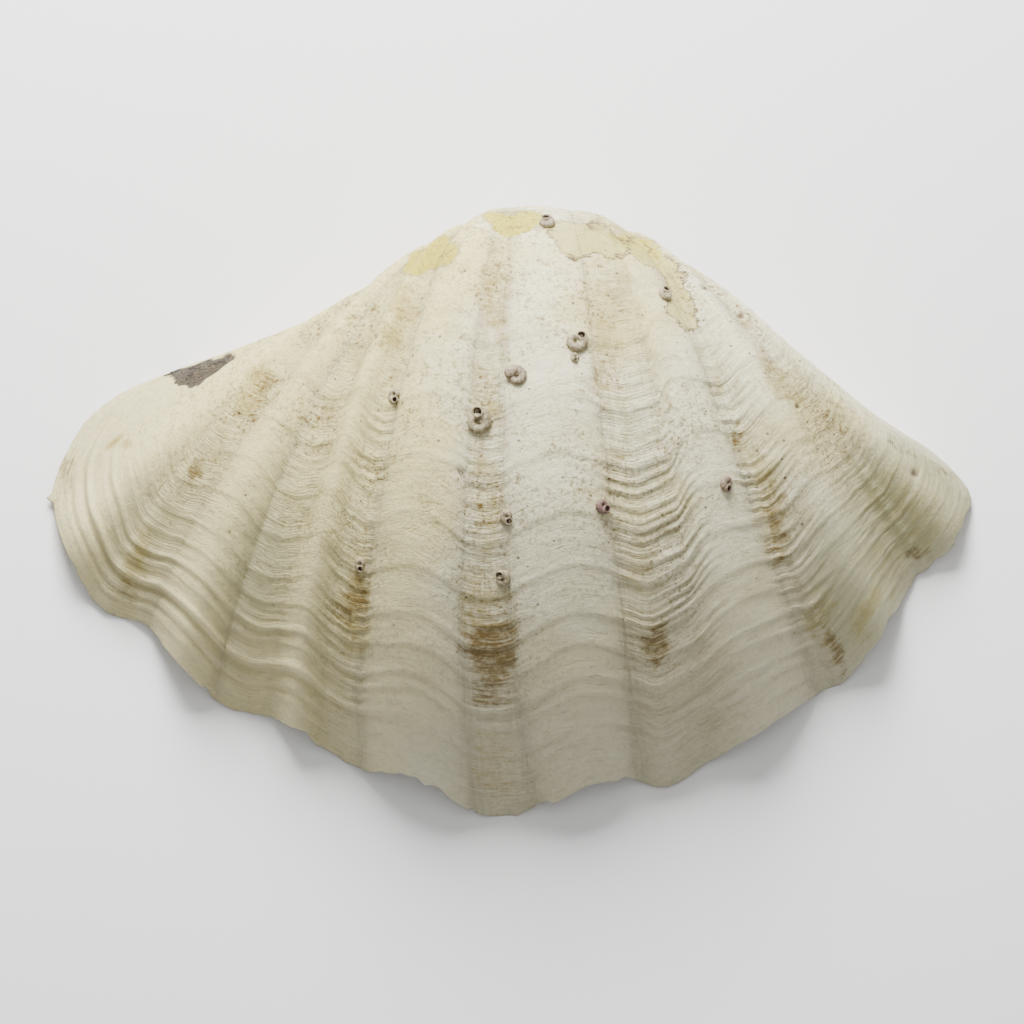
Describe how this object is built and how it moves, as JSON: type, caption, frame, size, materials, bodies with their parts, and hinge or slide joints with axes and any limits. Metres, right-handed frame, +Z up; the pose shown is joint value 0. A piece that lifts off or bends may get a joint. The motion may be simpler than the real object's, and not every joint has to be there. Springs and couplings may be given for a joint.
{
  "type": "giant clam shell valve",
  "caption": "One scalloped valve of a giant clam, ribbed and furrowed outside, hollow inside, with worm-snail tubes cemented to its outer face; display piece or basin.",
  "frame": {"origin": "the middle of the bottom of the valve's bounding box, on the plane it rests on", "axes": "+X along the valve's length, right in the picture; +Y from the scalloped margin towards the umbo; +Z up through the outer face"},
  "size_m": [0.707, 0.4662, 0.1805],
  "materials": {
    "shell": "chalky matt outside with growth lines and tan stains, smoother towards the margin"
  },
  "bodies": {
    "root": {"valve": "shell"}
  },
  "joints": []
}
